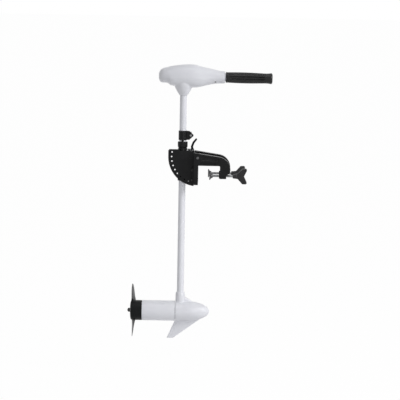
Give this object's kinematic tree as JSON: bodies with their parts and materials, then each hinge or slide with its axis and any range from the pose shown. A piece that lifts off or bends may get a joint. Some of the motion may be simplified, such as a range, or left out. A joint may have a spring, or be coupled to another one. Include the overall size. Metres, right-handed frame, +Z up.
{
  "type": "trolling motor",
  "caption": "Transom-clamp electric trolling motor: white pod motor, long shaft, hand-control head with telescoping twist tiller, black tilt bracket and clamp screws.",
  "frame": {"origin": "on the face of the clamp that meets the transom, on the centre plane, at the height of the clamp screws", "axes": "+X forward into the boat, +Y to port, +Z up along the upright shaft"},
  "size_m": [0.5858, 0.153, 1.1466],
  "materials": {
    "white_paint": "satin",
    "white_shell": "satin",
    "black_composite": "satin",
    "steel": "machined",
    "black_steel": "satin",
    "brass": "machined",
    "copper": "drawn",
    "grip_rubber": "matt",
    "nylon": "moulded",
    "ferrite": "sintered",
    "carbon": "pressed"
  },
  "bodies": {
    "bracket": {"clamp_frame": "black_composite", "index_quadrant": "black_composite", "far_cheek": "black_composite", "pivot_bolt": "steel", "pivot_nut": "steel", "bracket_bolts": "black_steel", "clamp_inserts": "brass"},
    "yoke": {"tilt_yoke": "black_composite", "pivot_bush": "nylon", "upper_bush": "nylon", "lower_bush": "nylon", "lever_pin": "steel"},
    "tension": {"tension_collar": "black_composite"},
    "lever": {"lock_lever": "black_composite"},
    "rod": {"lock_rod": "steel"},
    "pin": {"lock_pin": "steel"},
    "collar": {"depth_collar": "black_composite", "collar_bolt": "steel"},
    "washer": {"collar_washer": "steel"},
    "knob": {"collar_knob": "black_composite"},
    "shaft": {"shaft_tube": "white_paint", "motor_leads": "grip_rubber", "lead_grommets": "grip_rubber", "head_base": "white_shell", "head_cover": "white_shell", "head_screws": "steel", "neck_screw": "steel", "tiller_bushing": "white_shell", "speed_switch": "black_composite", "lead_gland": "black_composite", "nose_housing": "white_paint", "motor_tube": "white_paint", "rear_bell": "white_paint", "tube_seals": "grip_rubber", "through_bolts": "steel", "field_magnets": "ferrite", "brush_plate": "nylon", "brushes": "carbon", "brush_springs": "steel", "bearings": "steel", "shaft_seal": "grip_rubber"},
    "rotor": {"rotor_shaft": "steel", "armature_core": "steel", "windings": "copper", "commutator": "copper", "propeller": "black_composite", "drive_pin": "steel", "prop_washer": "steel", "prop_nut": "black_composite"},
    "twist": {"speed_rod": "steel"},
    "tiller": {"tiller_tube": "white_shell", "rod_slider": "nylon", "grip_sleeve": "grip_rubber", "grip_cap": "grip_rubber"},
    "pad_near": {"clamp_pad_near": "steel"},
    "screw_near": {"clamp_screw_near": "steel", "clamp_knob_near": "black_composite"},
    "pad_far": {"clamp_pad_far": "steel"},
    "screw_far": {"clamp_screw_far": "steel", "clamp_knob_far": "black_composite"}
  },
  "joints": [
    {"name": "tilt", "type": "hinge", "parent": "bracket", "child": "yoke", "pos_m": [-0.0025, 0, 0.074], "axis": [0, 1, 0], "range_deg": [0, 80]},
    {"name": "tension_turn", "type": "hinge", "parent": "yoke", "child": "tension", "pos_m": [-0.066, 0, 0.12], "axis": [0, 0, 1], "range_deg": [-45, 45]},
    {"name": "lever_swing", "type": "hinge", "parent": "yoke", "child": "lever", "pos_m": [-0.02544, 0, 0.1], "axis": [0, 1, 0], "range_deg": [0, 24]},
    {"name": "rod_lift", "type": "slide", "parent": "yoke", "child": "rod", "axis": [0, 0, 1], "range_m": [0, 0.0059]},
    {"name": "pin_throw", "type": "slide", "parent": "yoke", "child": "pin", "axis": [0, -1, 0], "range_m": [0, 0.0059]},
    {"name": "steer", "type": "hinge", "parent": "yoke", "child": "collar", "pos_m": [-0.066, 0, 0.161], "axis": [0, 0, 1], "continuous": true},
    {"name": "depth", "type": "slide", "parent": "collar", "child": "shaft", "axis": [0, 0, 1], "range_m": [-0.142, 0.4]},
    {"name": "knob_turn", "type": "hinge", "parent": "washer", "child": "knob", "pos_m": [-0.033, 0.012, 0.161], "axis": [0, 1, 0], "range_deg": [0, 720]},
    {"name": "washer_slide", "type": "slide", "parent": "collar", "child": "washer", "axis": [0, 1, 0], "range_m": [0, 0.00201]},
    {"name": "prop_spin", "type": "hinge", "parent": "shaft", "child": "rotor", "pos_m": [-0.251, 0, -0.5765], "axis": [1, 0, 0], "continuous": true},
    {"name": "speed_twist", "type": "hinge", "parent": "shaft", "child": "twist", "pos_m": [0.101, 0, 0.403], "axis": [0.9999, 0, -0.0105], "range_deg": [-60, 100]},
    {"name": "tiller_extend", "type": "slide", "parent": "twist", "child": "tiller", "axis": [0.9999, 0, -0.0105], "range_m": [0, 0.152]},
    {"name": "screw_turn_near", "type": "hinge", "parent": "pad_near", "child": "screw_near", "pos_m": [0.11, -0.053, 0], "axis": [-1, 0, 0], "range_deg": [-2880, 1080]},
    {"name": "pad_slide_near", "type": "slide", "parent": "bracket", "child": "pad_near", "axis": [-1, 0, 0], "range_m": [-0.02401, 0.00901]},
    {"name": "screw_turn_far", "type": "hinge", "parent": "pad_far", "child": "screw_far", "pos_m": [0.11, 0.053, 0], "axis": [-1, 0, 0], "range_deg": [-3600, 360]},
    {"name": "pad_slide_far", "type": "slide", "parent": "bracket", "child": "pad_far", "axis": [-1, 0, 0], "range_m": [-0.03001, 0.00301]}
  ],
  "couplings": [
    {"joint": "rod_lift", "follows": "lever_swing", "m_per_rad": 0.014},
    {"joint": "pin_throw", "follows": "lever_swing", "m_per_rad": 0.014},
    {"joint": "washer_slide", "follows": "knob_turn", "m_per_rad": 0.00015915},
    {"joint": "pad_slide_near", "follows": "screw_turn_near", "m_per_rad": 0.00047746},
    {"joint": "pad_slide_far", "follows": "screw_turn_far", "m_per_rad": 0.00047746}
  ]
}
